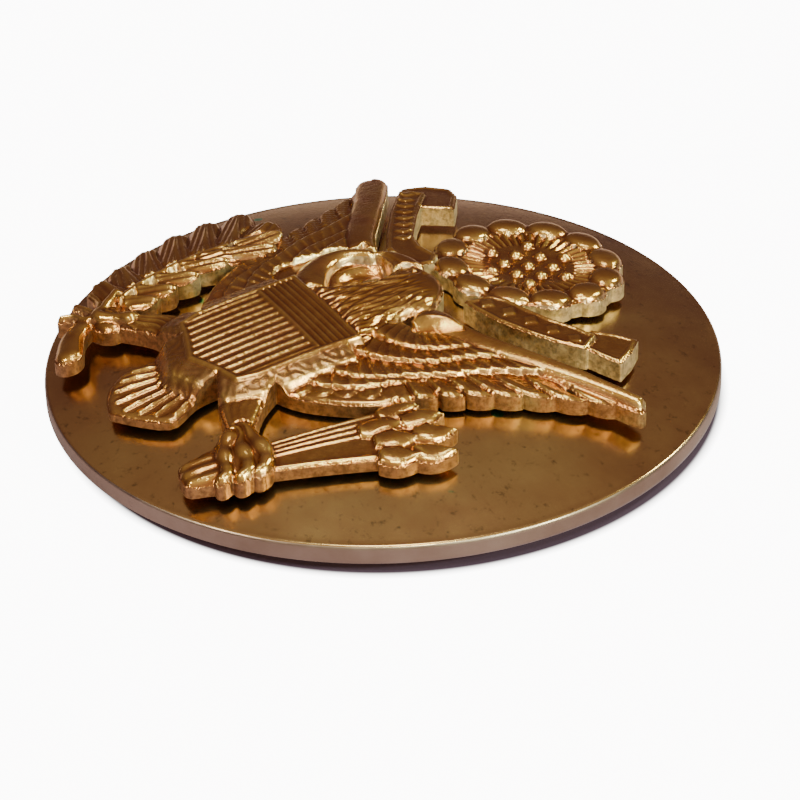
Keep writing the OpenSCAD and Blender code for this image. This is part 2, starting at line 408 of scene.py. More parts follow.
SHOULDER = ((-7.0, -4.4), (-7.35, -1.0), (-6.9, 1.0), (-5.6, 2.8), (-4.2, 3.7), (-1.8, 3.4), (-1.0, -4.4))
SHOULDER_BAR = ((-3.6, -3.6), (-5.2, -2.2), (-6.0, -0.6), (-5.8, 0.9), (-5.0, 1.9))
BEAK = (
    (-1.4, 4.1), (-2.8, 4.1), (-4.1, 3.6), (-4.9, 2.7), (-4.9, 1.9), (-4.1, 2.3), (-2.9, 2.2), (-1.6, 2.0),
)
NECK = (
    (-2.9, -4.2), (-2.2, -1.6), (-1.75, 0.6), (-2.0, 1.9), (-2.3, 2.9), (-1.6, 3.8), (-0.4, 4.3), (1.0, 4.1),
    (2.3, 3.2), (3.2, 2.1), (3.3, 0.9), (3.1, -0.2), (3.6, -1.6), (4.1, -2.8), (4.3, -4.4),
)
EYE = (-1.0, 3.05)


def lay_head(r):
    """Left shoulder and its hollow, then neck and head with the beak to the left."""
    hollow = ramp(r.oval(-3.2, 0.7, 1.15, 1.9) - 0.75, 0.6)
    r.lay(r.inside(SHOULDER), 0.62 + 0.5 * hollow, soft=0.1)
    lay_rod(r, SHOULDER_BAR, 1.45, -0.13, 1.05, 0.9, 0.15)
    beak = r.inside(BEAK)
    mouth = from_segment(r.x, r.y, (-4.3, 2.6), (-1.8, 2.8))[0]
    r.lay(beak, 1.55 + 0.42 * swell(beak, 0.75) - 0.1 * bell(mouth, 0.1), soft=0.1)
    d = r.inside(NECK)
    down = 4.4 - r.y
    across = (r.x - 0.35 - 0.05 * down) / (1.6 + 0.2 * down)
    locks = np.sin(34 * across + 1.2 * np.sin(1.9 * down + 5 * across))
    hairs = np.sin(53 * across + 2 * np.sin(1.3 * down - 4 * across))
    tufts = 0.5 + 0.5 * np.sin(3.4 * down + 13 * across)
    fleece = (0.11 * locks * tufts + 0.05 * hairs) * ramp(down - 1.2, 1.6)
    r.lay(d, 1.3 + 0.78 * swell(d, 1.9) + fleece, soft=0.12)
    eye = r.oval(*EYE, 1, 1 / 1.2)
    brow = from_segment(r.x, r.y, (-1.75, 3.45), (-0.3, 3.5))[0]
    r.add(0.13 * bell(eye, 0.2) - 0.13 * bell(eye - 0.36, 0.12) + 0.12 * bell(brow, 0.18))


SHIELD = (
    (-4.75, -3.8), (-4.66, -6.8), (-4.62, -11.3), (-4.2, -12.8), (-2.4, -13.3), (0, -14.2),
    (2.4, -13.3), (4.2, -12.8), (4.62, -11.3), (4.66, -6.8), (4.75, -3.8),
)
SHIELD_MIDDLE = (0, -9)
CHIEF_Y = -6.7
BAR_PITCH = 0.43
PALE_PITCH = 0.71


def lay_shield(r):
    """Shield with a raised border, bars across its chief and pales below, on a mottled breast."""
    d = r.within_corners(SHIELD)
    mottle = 0.028 * np.sin(5.1 * r.x + 2 * np.sin(3.3 * r.y)) * np.sin(5.7 * r.y + 2 * np.sin(2.9 * r.x))
    breast = 2.0 - 0.28 * np.clip(d, 0, 1.2) - 0.75 * ramp(d - 1.0, 0.7) - 2.5 * np.clip(r.y + 5.0, 0, 2)
    r.raise_to(breast + mottle, (d < 1.7) & (r.edge < 0))
    inner = ramp(-d - 0.5, 0.08)
    bars = 0.075 * np.cos(2 * math.pi * (r.y - CHIEF_Y) / BAR_PITCH)
    pales = 0.13 * bell(np.abs((r.x / PALE_PITCH) % 1 - 0.5), 0.19) - 0.07
    above = ramp(r.y - CHIEF_Y - 0.12, 0.1)
    below = ramp(CHIEF_Y - 0.25 - r.y, 0.15)
    rule = 0.13 * bell(r.y - CHIEF_Y + 0.08, 0.13)
    border = 0.1 * (ramp(-d, 0.3) - ramp(-d - 0.4, 0.1))
    r.lay(d, 2.08 + inner * (bars * above + pales * below + rule) + border, soft=0.12)


TAIL = (
    (-2.6, -12.0), (-3.5, -16.2), (-3.3, -17.6), (-2.2, -18.8), (-0.7, -19.5), (0.3, -19.3), (3.3, -17.1),
    (2.6, -14.8), (2.0, -12.0),
)
TAIL_ROOT = (-0.1, -10.2)
TAIL_TIPS = (
    (3.0, -16.6), (2.2, -17.6), (1.3, -18.3), (0.3, -18.9), (-0.8, -19.0), (-1.9, -18.5), (-2.7, -17.7),
    (-3.15, -16.7),
)


def lay_tail(r):
    """Fan of tail feathers in two layers, cut off along a plain edge."""
    clip = r.inside(TAIL)
    r.lay(clip, 0.68 + 0 * r.x)
    root = np.array(TAIL_ROOT)
    for reach, rise in ((1.0, 0.0), (0.66, 0.16)):
        for tip in TAIL_TIPS:
            end = root + (np.array(tip) - root) * reach
            d, s, v = feather(r.x, r.y, root, end, 0.2, 0.62)
            last = s - np.linalg.norm(end - root) + 0.5
            quill = (0.16 + 0.1 * bell(last, 0.4)) * bell(v, 0.16) * ramp(s - 1, 1)
            r.lay(np.maximum(d, clip), 0.7 + rise + quill - 0.1 * np.abs(v), soft=0.06)


def lay_thigh(r, points, w_hip, w_ankle, top, down):
    """Leg that narrows along a bent line to the ankle, with down that lies along it in long locks."""
    d, s, v, length = from_curve(r.x, r.y, points)
    half = w_hip + (w_ankle - w_hip) * (s / length) ** 0.8
    locks = down * np.sin(15 * v / half + 1.6 * s + 1.2 * np.sin(2.2 * s))
    locks = locks * ramp(s - 0.2, 0.6) * ramp(length - s, 0.8)
    r.lay(d - half, top + 0.46 * round_top(d / half) + locks, soft=0.12)


def lay_toe(r, points, w_root, w_tip, top):
    """One toe with two soft joints that ends in a smooth claw."""
    d, s, _, length = from_curve(r.x, r.y, points)
    share = s / length
    joint = 0.05 * np.cos(2 * math.pi * share * 2.2) * ramp(0.8 - share, 0.15)
    half = w_root + (w_tip - w_root) * share + joint
    r.lay(d - half, top + 0.3 * half + 0.56 * round_top(d / half) + joint, soft=0.08)


def lay_claw(r, centre, reach, top, toes):
    """Closed fist with toes over it."""
    rho = r.oval(*centre, *reach)
    r.lay((rho - 1) * reach[1], top + 0.5 * round_top(rho), soft=0.15)
    for toe in toes:
        lay_toe(r, *toe)


ARROW_BED = ((8.9, -13.8), (10.4, -6.2), (10.2, -4.4), (14.9, -5.2), (14.8, -7.4), (11.6, -14.4))
SHAFTS = (
    ((9.3, -14.2), (10.7, -5.8)), ((9.65, -14.2), (11.3, -5.8)), ((10.0, -14.2), (11.9, -5.6)),
    ((10.35, -14.2), (12.6, -5.6)),
)
ARROWHEADS = (
    (11.2, -4.9), (12.5, -3.9), (14.1, -3.9), (15.7, -4.8), (12.0, -6.6), (13.5, -6.3), (15.0, -6.8),
)
SHAFTS_MEET = (9.0, -18.0)
FLIGHTS = (
    (8.0, -15.0), (7.8, -16.8), (7.9, -18.7), (9.7, -19.1), (10.5, -17.9), (11.1, -17.0), (11.6, -15.6),
    (11.2, -14.6),
)


def lay_arrows(r):
    """Bundle of arrows: fine shafts on a smooth bed, rounded heads in two rows, flights below the claw."""
    lower_edge = from_segment(r.x, r.y, (11.4, -14.4), (14.6, -7.2))[0]
    bundle = 0.82 + 0.12 * bell(lower_edge, 0.22)
    for foot, tip in SHAFTS:
        bundle = bundle + 0.1 * bell(from_segment(r.x, r.y, foot, tip)[0], 0.12)
    r.lay(r.within_corners(ARROW_BED), bundle)
    for x, y in ARROWHEADS:
        way = np.array((x - SHAFTS_MEET[0], y - SHAFTS_MEET[1]))
        way = way / np.linalg.norm(way)
        s = (r.x - x) * way[0] + (r.y - y) * way[1]
        v = (r.y - y) * way[0] - (r.x - x) * way[1]
        half = 0.88 * np.clip(1 - (np.abs(s + 0.45) / 1.75) ** 2, 0, 1) + 0.01
        d = np.maximum(np.abs(v) - half, np.abs(s + 0.1) - 1.45)
        r.lay(d, 0.84 + 0.34 * round_top(v / half) + 0.05 * np.cos(2.4 * s + x), soft=0.08)
    flights = r.inside(FLIGHTS)
    across = from_segment(r.x, r.y, (9.9, -14.4), (8.9, -19.2))[2]
    grooves = 0.05 * np.cos(2 * math.pi * across / 0.8)
    r.lay(flights, 0.86 + 0.36 * swell(flights, 1.3) + grooves, soft=0.1)


BRANCH = (
    (-11.4, -1.4), (-13.4, -1.2), (-15.6, -1.9), (-15.8, -4.0), (-15.6, -6.2), (-15.0, -8.6),
    (-14.2, -10.8), (-13.6, -12.8), (-12.2, -14.2), (-10.2, -14.2), (-9.6, -12.8), (-9.7, -11.4),
    (-10.9, -9.6), (-11.7, -7.6), (-10.9, -6.0), (-10.0, -4.2), (-10.0, -2.6),
)
BRANCH_STEM = ((-12.7, -5.0), (-12.7, -7.0), (-12.5, -9.0), (-11.8, -12.0), (-10.6, -14.6))
BRANCH_BUTT = ((-11.0, -14.4), (-10.4, -16.6), (-9.4, -18.0), (-7.7, -19.0))
OUTER_LEAVES = (
    ((-12.4, -3.4), (-14.4, -0.7)), ((-12.6, -4.6), (-17.3, -1.6)), ((-12.8, -6.6), (-17.6, -4.0)),
    ((-12.8, -8.8), (-17.3, -6.5)), ((-12.5, -10.6), (-16.5, -9.1)), ((-12.0, -12.2), (-15.6, -11.5)),
    ((-11.4, -13.2), (-14.7, -13.5)),
)
INNER_LEAVES = (
    ((-12.6, -4.6), (-12.2, -1.0)), ((-12.3, -5.6), (-10.2, -2.4)), ((-12.6, -7.4), (-11.5, -3.9)),
    ((-12.4, -8.8), (-10.7, -5.8)), ((-12.0, -10.8), (-10.2, -8.2)), ((-11.5, -12.4), (-9.6, -10.2)),
    ((-10.9, -13.6), (-9.0, -11.8)),
)


def lay_leaf(r, base, tip, half, top):
    """Long oval leaf with a midrib and slanting veins on a softly rounded blade."""
    s, v, length = from_start(r.x, r.y, base, tip)
    t = np.clip(s / length, 0, 1)
    width = half * np.sqrt(np.clip(1 - np.abs(2 * t - 1.06) ** 2.3, 0, 1)) + 0.01
    d = np.maximum(np.abs(v) - width, np.maximum(-s, s - length))
    blade = 0.24 * round_top(v / half) + 0.08 * np.cos(math.pi * np.clip(v / half, -1, 1))
    rib = 0.12 * bell(v, 0.13) * ramp(length - s, 0.8)
    veins = 0.04 * np.cos(2 * math.pi * (np.abs(v) + 0.12 * s) / 0.42)
    r.lay(d, top + blade + rib + veins, soft=0.06)


def lay_branch(r):
    """Olive branch: outer leaves, inner leaves over them, and the stem on top."""
    r.lay(r.inside(BRANCH), 1.0 + 0 * r.x)
    for leaves, half, top in ((OUTER_LEAVES, 1.3, 1.12), (INNER_LEAVES, 0.92, 1.24)):
        for base, tip in reversed(leaves):
            lay_leaf(r, base, tip, half, top)
    lay_rod(r, BRANCH_STEM, 0.24, 0.0, 1.42, 0.2, 0.05)


# Middle line of a toe, half width at its root and at its tip, and height
LEFT_TOES = (
    (((-8.0, -14.5), (-9.4, -15.4), (-10.5, -16.6), (-11.4, -16.9), (-12.0, -17.6)), 0.4, 0.26, 1.0),
    (((-8.2, -14.5), (-9.8, -15.5), (-11.2, -15.9), (-12.5, -16.3)), 0.4, 0.26, 1.06),
    (((-8.2, -14.4), (-10.2, -15.3), (-11.8, -14.9), (-13.1, -14.9)), 0.4, 0.26, 1.06),
    (((-8.0, -14.3), (-9.9, -15.8), (-10.8, -14.9), (-11.9, -13.6)), 0.52, 0.4, 1.14),
)
RIGHT_TOES = (
    (((7.8, -14.2), (9.2, -13.9), (10.5, -14.0), (11.4, -14.5), (11.6, -15.0)), 0.72, 0.5, 0.82),
    (((7.8, -14.8), (9.2, -15.0), (10.4, -15.2), (11.2, -15.6), (11.4, -16.1)), 0.7, 0.5, 0.86),
    (((7.9, -15.2), (8.8, -16.0), (9.8, -16.4), (10.7, -16.8), (10.9, -17.2)), 0.64, 0.46, 0.84),
)
LEFT_THIGH = ((-3.0, -11.4), (-4.7, -12.3), (-6.4, -13.2), (-8.2, -14.5))
RIGHT_THIGH = ((3.2, -11.2), (5.2, -12.9), (7.8, -14.3))
LEFT_BAND = (
    (-2.2, 3.2), (-2.0, 5.2), (-3.0, 5.9), (-4.6, 5.6), (-6.2, 5.9), (-9.2, 7.9), (-12.4, 10.4), (-14.0, 9.2),
    (-10.6, 6.6), (-7.4, 4.5), (-5.4, 3.4),
)
LEFT_FOLD = ((-14.5, 9.6), (-14.2, 11.3), (-12.9, 12.6), (-11.4, 12.3), (-9.3, 10.9), (-10.8, 8.6))
RIGHT_BAND = (
    (3.4, 4.2), (4.6, 4.4), (6.5, 5.0), (8.5, 6.1), (10.2, 7.3), (11.5, 8.6), (10.4, 10.1), (9.1, 9.5),
    (7.6, 8.4), (6.0, 7.6), (4.4, 7.0), (3.5, 6.2),
)
RIGHT_FOLD = (
    (10.2, 8.6), (11.3, 8.75), (12.3, 9.3), (13.4, 10.0), (12.5, 11.4), (11.4, 12.6), (10.4, 11.6),
    (9.4, 10.2),
)
PIERCED_HOLE = (-3.1, 1.15)


def emblem_relief():
    """The whole struck face, motif over motif."""
    r = Relief((-18.9, -20.4), (18.9, 19.4))
    lay_tail(r)
    lay_wing(r, -1)
    lay_wing(r, 1)
    lay_ribbon(r, LEFT_FOLD, 1.5)
    lay_ribbon(r, LEFT_BAND, 1.66, (-5.8, 4.9), (-13.4, 9.4), 8)
    lay_ribbon(r, RIGHT_FOLD, 1.5)
    lay_ribbon(r, RIGHT_BAND, 1.66, (3.6, 5.1), (10.9, 8.9), 5)
    lay_branch(r)
    lay_arrows(r)
    lay_thigh(r, RIGHT_THIGH, 2.3, 0.8, 1.05, 0.02)
    lay_thigh(r, LEFT_THIGH, 1.75, 0.72, 1.1, 0.09)
    lay_rod(r, BRANCH_BUTT, 0.66, 0.05, 0.94, 0.46, 0.12)
    lay_claw(r, (-10.0, -15.3), (2.1, 1.2), 1.0, LEFT_TOES)
    lay_claw(r, (9.5, -15.1), (2.3, 1.75), 0.86, RIGHT_TOES)
    lay_glory(r)
    lay_head(r)
    lay_shield(r)
    r.pierce(r.oval(*PIERCED_HOLE, 0.95, 1.25) * 0.55 - 0.44)
    r.round_off(0.4, 0.32)
    return r


# ---------------- relief: height field to closed mesh
def back_height(x, y):
    """Height of the sphere that the emblem's back follows."""
    return BACK_Z + np.sqrt(BACK_R**2 - x * x - y * y)


def spread_outward(h, inside, rounds=3):
    """Fills heights just outside the metal from their neighbours inside it."""
    def beside(a):
        return sum(np.roll(a, shift, axis) for axis in (0, 1) for shift in (1, -1))
    h = np.where(inside, h, 0.0)
    known = inside.copy()
    for _ in range(rounds):
        count = beside(known * 1.0)
        fill = ~known & (count > 0)
        h = np.where(fill, beside(h) / np.maximum(count, 1), h)
        known = known | fill
    return h, known


def blurred(h, known, reach):
    """Mean over a square of known cells, reach cells each way. The grid's border holds no known cells."""
    def box_sum(a):
        for axis in (0, 1):
            a = sum(np.roll(a, shift, axis) for shift in range(-reach, reach + 1))
        return a
    return box_sum(h * known) / np.maximum(box_sum(known * 1.0), 1)


def joined_to_shield(r):
    """Distance from the outer edge, where loose specks of metal that don't join the shield are left out."""
    start = (int((SHIELD_MIDDLE[1] - r.low[1]) / GRID), int((SHIELD_MIDDLE[0] - r.low[0]) / GRID))
    inside = r.edge < 0
    joined = np.zeros(inside.shape, bool)
    joined[start] = True
    queue = [start]
    while queue:
        j, i = queue.pop()
        for cell in ((j, i - 1), (j, i + 1), (j - 1, i), (j + 1, i)):
            if inside[cell] and not joined[cell]:
                joined[cell] = True
                queue.append(cell)
    return np.where(inside & ~joined, GRID, r.edge)


def cut_cells(edge):
    """Cells of the grid clipped to edge < 0: polygons over grid corners and crossing points."""
    inside = edge < 0
    crossings = {}
    points = []
    count = inside[:-1, :-1].astype(int) + inside[:-1, 1:] + inside[1:, 1:] + inside[1:, :-1]
    polygons = [[(j, i), (j, i + 1), (j + 1, i + 1), (j + 1, i)] for j, i in np.argwhere(count == 4)]

    def crossing(a, b):
        a, b = sorted((a, b))
        if (a, b) not in crossings:
            t = min(max(edge[a] / (edge[a] - edge[b]), 0.08), 0.92)
            crossings[a, b] = len(points)
            points.append((a[0] + (b[0] - a[0]) * t, a[1] + (b[1] - a[1]) * t))
        return ("cut", crossings[a, b])

    for j, i in np.argwhere((count > 0) & (count < 4)).tolist():
        corners = [(j, i), (j, i + 1), (j + 1, i + 1), (j + 1, i)]
        metal = [bool(inside[c]) for c in corners]
        two_tips = count[j, i] == 2 and metal[0] == metal[2]
        polygon = []
        for k in range(4):
            before, here, after = corners[k - 1], corners[k], corners[(k + 1) % 4]
            if two_tips and metal[k]:
                polygons.append([here, crossing(here, after), crossing(before, here)])
            elif not two_tips:
                if metal[k]:
                    polygon.append(here)
                if metal[k] != metal[(k + 1) % 4]:
                    polygon.append(crossing(here, after))
        if polygon:
            polygons.append(polygon)
    return polygons, np.array(points)


def edges_of(face):
    return zip(face, face[1:] + face[:1])


def open_edges(faces, first):
    """Edges between points numbered from first on that only one face has, in that face's direction."""
    found = {}
    for face in faces:
        for a, b in edges_of(face):
            if a >= first and b >= first and not found.pop((b, a), False):
                found[a, b] = True
    return list(found)


def within(faces, outline):
    """The faces on the left of an outline's directed edges, found from neighbour to neighbour."""
    owner = {edge: k for k, face in enumerate(faces) for edge in edges_of(face)}
    queue = [owner[edge] for edge in outline if edge in owner]
    found = set(queue)
    while queue:
        for a, b in edges_of(faces[queue.pop()]):
            beyond = owner.get((b, a))
            if (a, b) not in outline and beyond is not None and beyond not in found:
                found.add(beyond)
                queue.append(beyond)
    return [faces[k] for k in sorted(found)]


def struck_surface(r, inside):
    """Softened heights, how high each point stands over what is round it, and how steep or dull it is."""
    h, known = spread_outward(r.h, inside)
    h = np.maximum(h, LEAST_T)
    near, far = blurred(h, known, 2), blurred(h, known, 6)
    h = h * 0.5 + blurred(h, known, 1) * 0.5
    # high: worn gold with a painted highlight where a point stands over its surroundings, brown patina with
    # painted cavity shade in hollows
    high = np.clip(0.5 + 2.2 * (h - far) + 1.5 * (h - near), 0, 1)
    run_y, run_x = np.gradient(h, GRID)
    steep = np.clip(np.hypot(run_x, run_y) - 1.3, 0, 1)
    return h, high, np.where(inside, np.maximum(steep, 0.5 * blurred(r.dull, inside, 1)), 0.0)


def back_mesh(r, edge, rim_xy, rim_edges):
    """Points and triangles of the emblem's back inside its rim, and each rim point's number among them."""
    coarse = (slice(None, None, BACK_STEP), slice(None, None, BACK_STEP))
    chosen = edge[coarse] < -LEAST_T
    inner = zip(r.x[coarse][chosen], r.y[coarse][chosen])
    seeds = [Vector(p) for p in (*rim_xy, *inner)]
    points, _, faces, sources, _, _ = delaunay_2d_cdt(seeds, rim_edges, [], 1, 1e-6)
    number = {s: k for k, merged in enumerate(sources) for s in merged if s < len(rim_xy)}
    outline = {(number[a], number[b]) for a, b in rim_edges}
    return np.array([(p.x, p.y) for p in points]), within(faces, outline), number


def emblem_mesh(r):
    """Closed mesh of the emblem: struck face, upright cut walls and a smooth back on the dome's curve."""
    edge = joined_to_shield(r)
    inside = edge < 0
    h, high, steep = struck_surface(r, inside)
    polygons, cuts = cut_cells(edge)
    cut_start = int(inside.sum())
    index = np.full(edge.shape, -1)
    index[inside] = np.arange(cut_start)
    end_a, end_b = np.floor(cuts).astype(int).T, np.ceil(cuts).astype(int).T
    metal_end = tuple(np.where(inside[tuple(end_a)], end_a, end_b))

    def on_front(field):
        return np.concatenate([field[inside], field[metal_end]])

    x = np.concatenate([r.x[inside], r.low[0] + GRID * cuts[:, 1]])
    y = np.concatenate([r.y[inside], r.low[1] + GRID * cuts[:, 0]])
    front = [[cut_start + v[1] if v[0] == "cut" else int(index[v]) for v in p] for p in polygons]
    rim = open_edges(front, cut_start)
    rim_points = sorted({v for pair in rim for v in pair})
    order = {v: k for k, v in enumerate(rim_points)}
    rim_xy = list(zip(x[rim_points], y[rim_points]))
    back_xy, back, number = back_mesh(r, edge, rim_xy, [(order[a], order[b]) for a, b in rim])
    below = {v: len(x) + number[order[v]] for v in rim_points}
    back = [[len(x) + v for v in reversed(face)] for face in back]
    walls = [[b, a, below[a], below[b]] for a, b in rim]

    bx, by = back_xy.T
    top = np.stack([x, y, back_height(x, y) + on_front(h)], 1)
    bottom = np.stack([bx, by, back_height(bx, by)], 1)
    mesh = bpy.data.meshes.new("relief_eagle")
    mesh.from_pydata((np.concatenate([top, bottom]) * MM).tolist(), [], front + walls + back)
    mesh.validate()
    mesh.polygons.foreach_set("material_index", [0] * len(front) + [1] * len(walls) + [0] * len(back))
    mesh.polygons.foreach_set("use_smooth", [True] * len(mesh.polygons))
    for name, field, on_back in (("high", high, 0.35), ("steep", steep, 0.0)):
        values = np.concatenate([on_front(field), np.full(len(bx), on_back)])
        mesh.attributes.new(name, "FLOAT", "POINT").data.foreach_set("value", values.astype(np.float32))
    corners = {tuple(sorted(pair)) for a, b in rim for pair in ((a, b), (below[a], below[b]))}
    sharp = mesh.attributes.new("sharp_edge", "BOOLEAN", "EDGE")
    sharp.data.foreach_set("value", [tuple(sorted(e.vertices)) in corners for e in mesh.edges])
    mesh.update()
    return mesh


# ---------------- turned and threaded parts
def object_from(mesh, materials, body, slot, *nodes):
    """Puts a mesh in the scene as a piece that rides on a body and stands for CAD nodes."""
    piece = bpy.data.objects.new(mesh.name, mesh)
    bpy.context.scene.collection.objects.link(piece)
    for material in materials:
        mesh.materials.append(material)
    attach(piece, body)
    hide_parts(*nodes)
    return piece


def round_corners(profile, radius, steps=3):
    """A closed (r, z) profile with each corner cut by a small arc."""
    p = [np.array(q, float) for q in profile]
    out = []
    for before, here, after in zip(p[-1:] + p[:-1], p, p[1:] + p[:1]):
        a, b = before - here, after - here
        la, lb = np.linalg.norm(a), np.linalg.norm(b)
        cut = min(radius, la * 0.45, lb * 0.45)
        start, end = here + a / la * cut, here + b / lb * cut
        for k in range(steps + 1):
            t = k / steps
            out.append((1 - t) ** 2 * start + 2 * t * (1 - t) * here + t * t * end)
    return out


def clean_up(mesh):
    """Welds doubled points, turns the faces outward and marks the edges that are not smooth."""
    bm = bmesh.new()
    bm.from_mesh(mesh)
    bmesh.ops.remove_doubles(bm, verts=bm.verts, dist=1e-7)
    bmesh.ops.dissolve_degenerate(bm, edges=bm.edges, dist=1e-8)
    bmesh.ops.delete(bm, geom=[edge for edge in bm.edges if not edge.link_faces], context="EDGES")
    bmesh.ops.recalc_face_normals(bm, faces=bm.faces)
    if bm.calc_volume(signed=True) < 0:
        bmesh.ops.reverse_faces(bm, faces=bm.faces)
    for face in bm.faces:
        face.smooth = True
    for edge in bm.edges:
        edge.smooth = len(edge.link_faces) == 2 and edge.calc_face_angle(0) < SMOOTH_ANGLE
    bm.to_mesh(mesh)
    bm.free()


def turned(name, profile, centre=(0, 0), turns=96, shape=None):
    """Lathed part from a closed (r, z) profile. shape(r, z, angle) may change a point's radius and height."""
    coords = []
    for r, z in profile:
        for k in range(turns):
            a = 2 * math.pi * k / turns
            rr, zz = shape(r, z, a) if shape else (r, z)
            coords.append((centre[0] + rr * math.cos(a), centre[1] + rr * math.sin(a), zz))
    faces = []
    for i in range(len(profile)):
        here, below = i * turns, (i + 1) % len(profile) * turns
        for j in range(turns):
            turn = (j + 1) % turns
            faces.append((here + j, here + turn, below + turn, below + j))
    mesh = bpy.data.meshes.new(name)
    mesh.from_pydata((np.array(coords) * MM).tolist(), [], faces)
    clean_up(mesh)
    return mesh


def thread(angle, z):
    """Depth below the crest, 0 to 1, of a right-hand thread with flats on crest and root."""
    phase = (z / THREAD_PITCH - angle / (2 * math.pi)) % 1
    return min(max(abs(2 * phase - 1) * 1.5 - 0.25, 0), 1)


def post_mesh(radius, low, high):
    """Threaded post with a chamfered end."""
    rows = [(0.0, low), (radius - 0.55, low), (radius - 0.5, low + 0.02)]
    z = low + 0.08
    while z < THREAD_END_Z:
        rows.append((radius, z))
        z += THREAD_PITCH / 14
    rows += [(radius, THREAD_END_Z + 0.05), (radius, high), (0.0, high)]

    def shape(r, z, a):
        if r < radius:
            return r, z
        fade = min(max((THREAD_END_Z - z) / 0.5, 0), 1)
        chamfer = radius - 0.5 + max(z - low, 0)
        return min(radius - 0.02 - THREAD_DEPTH * thread(a, z) * fade, chamfer), z

    return turned("threaded_post", rows, turns=120, shape=shape)


def nut_mesh(low, high, radius, bore):
    """Round thumb nut: grooved edge, boss towards the washer and a threaded bore."""
    flange = high - NUT_BOSS_H
    dish_r = radius - 1.1
    outer = round_corners(
        [(bore, low), (radius, low), (radius, flange), (NUT_BOSS_R + 0.3, flange),
         (NUT_BOSS_R, flange + 0.08), (NUT_BOSS_R, high), (bore, high)], 0.16)
    outer = [tuple(p) for p in outer if p[0] > bore + 0.2]
    under = [(r, low) for r in np.linspace(NUT_BOSS_R, dish_r, 9)]
    inner = [(bore, z) for z in np.linspace(high, low, int((high - low) / THREAD_PITCH * 12))]

    def shape(r, z, a):
        if r <= bore + 1e-6:
            entry = 0.3 - min(z - low, high - z)
            depth = THREAD_DEPTH * (1 - thread(a, z))
            return bore - max(depth - max(entry, 0) * 1.5, 0), z
        if r > radius - 0.5:
            groove = abs(math.sin(a * KNURLS / 2)) ** 0.7
            share = min(max((r - radius + 0.5) / KNURL_DEPTH, 0), 1)
            r = r - KNURL_DEPTH * (1 - groove) * share
        if z < low + 0.02 and NUT_BOSS_R < r < dish_r:
            z = low + NUT_DISH * math.sin(math.pi * (r - NUT_BOSS_R) / (dish_r - NUT_BOSS_R))
        return r, z

    return turned("knurled_nut", under + outer[1:] + inner, turns=KNURLS * 8, shape=shape)


def solder_mesh(name, centre, shank, foot, height):
    """Collar of solder: a concave fillet between the disc's hollow side and a shank, a little uneven."""
    reach = math.hypot(*centre)
    width = foot - shank
    rows = []
    for k in range(SOLDER_ROWS + 1):
        t = k / SOLDER_ROWS
        spread = 1 - math.sin(t * math.pi / 2)
        rows.append((shank + width * spread * 0.94 + 0.02, -height * t**1.35 * 0.92))
    rows += [(shank, -height * 0.92), (shank, 0.0), (shank + width * 0.5, 0.0)]

    def shape(r, z, a):
        wobble = 1 + 0.05 * math.sin(3 * a + centre[0]) + 0.03 * math.sin(7 * a + 1.3)
        share = (r - shank) / width
        return shank + (r - shank) * min(wobble - 0.06 * share, 1.0), z * (0.95 + 0.05 * math.sin(2 * a))

    mesh = turned(name, rows, turns=64, shape=shape)
    heading = math.atan2(centre[1], centre[0])
    tilt = Matrix.Rotation(heading, 4, "Z") @ Matrix.Rotation(math.asin(reach / INNER_R), 4, "Y")
    seat = Vector((*centre, DOME_Z + math.sqrt(INNER_R**2 - reach * reach) - 0.08)) * MM
    for v in mesh.vertices:
        on_shank = math.hypot(v.co.x, v.co.y) < (shank + 0.01) * MM
        v.co = (v.co if on_shank else tilt @ v.co) + seat
    clean_up(mesh)
    return mesh


def disc_mesh():
    """Domed disc: spun sheet with a turned-down rim, small edge rounds and the hole in its middle."""
    wall_r = DISC_R - SHEET_T
    round_r = DISC_R - EDGE_ROUND
    top, under = (
        [(r, DOME_Z + math.sqrt(sphere**2 - r * r)) for r in np.linspace(start, end, count)]
        for sphere, start, end, count in (
            (DOME_R, CENTRE_HOLE_R, round_r, 60), (INNER_R, wall_r - 0.5, CENTRE_HOLE_R, 50))
    )
    edge = []
    for k in range(9):
        a = math.radians(74 - 74 * k / 8)
        edge.append((round_r + EDGE_ROUND * math.cos(a), RIM_TOP - 0.24 + EDGE_ROUND * math.sin(a)))
    skirt = [(DISC_R, z) for z in np.linspace(RIM_TOP - 0.4, RIM_Z + 0.12, 5)]
    foot = [(DISC_R - 0.035, RIM_Z + 0.035), (DISC_R - 0.12, RIM_Z), (wall_r + 0.1, RIM_Z),
            (wall_r, RIM_Z + 0.1)]
    inside = [(wall_r, RIM_TOP - 1.0), (wall_r - 0.04, RIM_TOP - 0.75), (wall_r - 0.2, RIM_TOP - 0.62)]
    mesh = turned("domed_disc", top + edge + skirt + foot + inside + under, turns=360)
    for face in mesh.polygons:
        outside = math.hypot(face.center.x, face.center.y) > (DISC_R - 0.12) * MM
        face.material_index = 1 if outside and abs(face.normal.z) < 0.8 else 0
    return mesh


def drill(piece, centre, radius):
    """Cuts a round hole along Z through a piece."""
    bm = bmesh.new()
    at = Matrix.Translation(Vector((*centre, DRILL_Z)) * MM)
    bmesh.ops.create_cone(bm, cap_ends=True, segments=48, radius1=radius * MM, radius2=radius * MM,
                          depth=DRILL_LENGTH * MM, matrix=at)
    tool_mesh = bpy.data.meshes.new("drill")
    bm.to_mesh(tool_mesh)
    bm.free()
    tool = bpy.data.objects.new("drill", tool_mesh)
    bpy.context.scene.collection.objects.link(tool)
    cut = piece.modifiers.new("drill", "BOOLEAN")
    cut.operation = "DIFFERENCE"
    cut.solver = "EXACT"
    cut.object = tool
    done = bpy.data.meshes.new_from_object(piece.evaluated_get(bpy.context.evaluated_depsgraph_get()))
    piece.modifiers.clear()
    name = piece.data.name
    piece.data = done
    piece.data.name = name
    bpy.data.objects.remove(tool)


